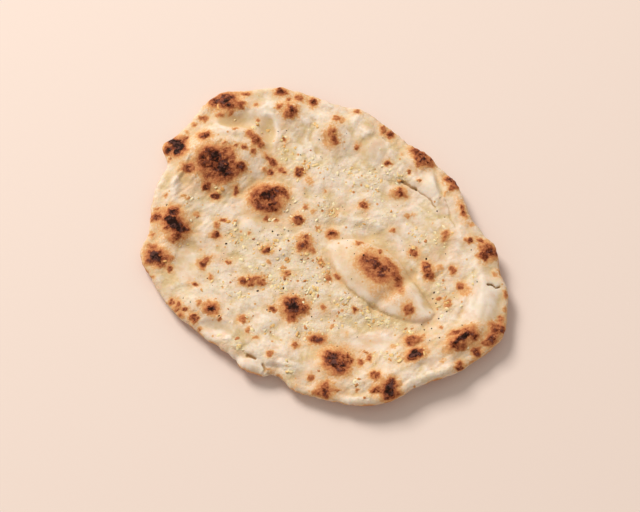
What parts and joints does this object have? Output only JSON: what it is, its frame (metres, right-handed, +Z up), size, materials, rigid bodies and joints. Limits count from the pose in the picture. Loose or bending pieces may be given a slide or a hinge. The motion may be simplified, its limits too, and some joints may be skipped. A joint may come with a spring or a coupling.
{
  "type": "naan bread",
  "caption": "Flat leavened bread, an uneven round with steam bubbles, a swollen rim, browned and charred spots and scattered garlic.",
  "frame": {"origin": "middle of the bread's box, on the surface it rests on", "axes": "+Z up out of the upper side, +X along the longest way across, to the right as eaten from the front"},
  "size_m": [0.2482, 0.239, 0.0173],
  "materials": {
    "crust": "soft baked crust, pale cream with brown and black charred spots, dull with a faint buttery sheen"
  },
  "bodies": {
    "root": {"naan": "crust"}
  },
  "joints": []
}
